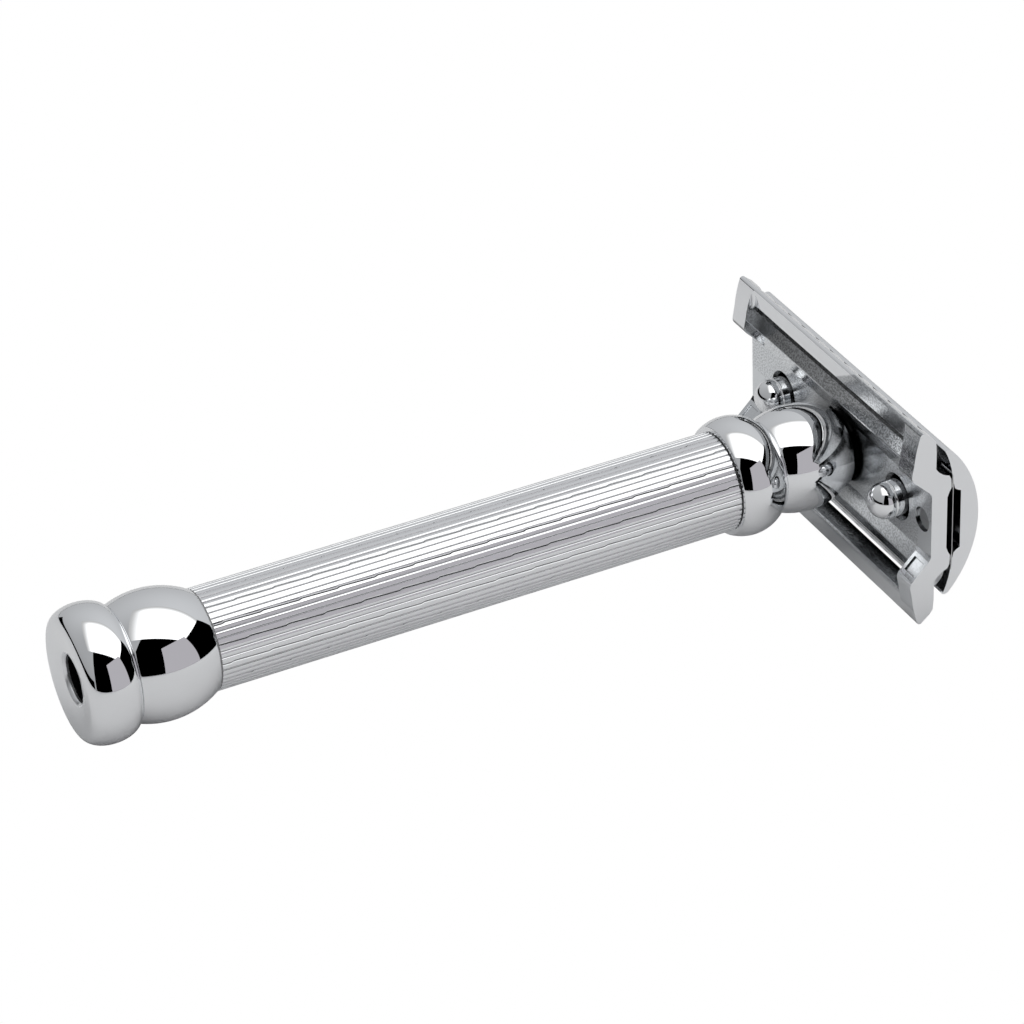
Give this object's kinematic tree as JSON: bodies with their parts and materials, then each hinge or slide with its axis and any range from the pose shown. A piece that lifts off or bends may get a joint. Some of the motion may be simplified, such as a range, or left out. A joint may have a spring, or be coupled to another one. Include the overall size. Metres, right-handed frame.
{
  "type": "safety razor",
  "caption": "Three-piece double-edge safety razor: a curved cap clamps a blade on a slotted baseplate, held by a screw in a long lined handle with a beaded neck and pommel.",
  "frame": {"origin": "centre of the pommel's end face, at the height of the rim it stands on", "axes": "+Z along the handle towards the head, X along the head and the blade, Y across the head"},
  "size_m": [0.043, 0.0264, 0.1064],
  "materials": {
    "polished_chrome": "mirror polished",
    "lined_chrome": "polished, finely lined",
    "cast_chrome": "satin, slightly grainy",
    "brass_plated": "plated",
    "blade_steel": "ground",
    "steel": "machined",
    "brass_core": "machined",
    "seal_rubber": "matte"
  },
  "bodies": {
    "handle": {"pommel_knob": "polished_chrome", "pommel_ball": "polished_chrome", "tie_bolt": "steel", "lock_washer": "steel", "core_tube": "brass_core", "grip_tube": "lined_chrome", "seal_rings": "seal_rubber", "neck_collar": "polished_chrome", "neck_ball": "polished_chrome", "thread_bush": "brass_core"},
    "head_plate": {"baseplate": "cast_chrome"},
    "blade": {"razor_blade": "blade_steel"},
    "cap": {"cap": "polished_chrome", "cap_screw": "brass_plated", "locating_studs": "polished_chrome"}
  },
  "joints": [
    {"name": "head_turn", "type": "hinge", "parent": "handle", "child": "head_plate", "pos_m": [0, 0, 0.1], "axis": [0, 0, 1], "range_deg": [0, 2160]},
    {"name": "blade_lift", "type": "slide", "parent": "head_plate", "child": "blade", "axis": [0, 0, 1], "range_m": [0, 0.0024]},
    {"name": "cap_lift", "type": "slide", "parent": "head_plate", "child": "cap", "axis": [0, 0, 1], "range_m": [0, 0.0048]}
  ],
  "couplings": [
    {"joint": "cap_lift", "follows": "head_turn", "m_per_rad": 0.00012732},
    {"joint": "blade_lift", "follows": "head_turn", "m_per_rad": 0.000063661}
  ]
}
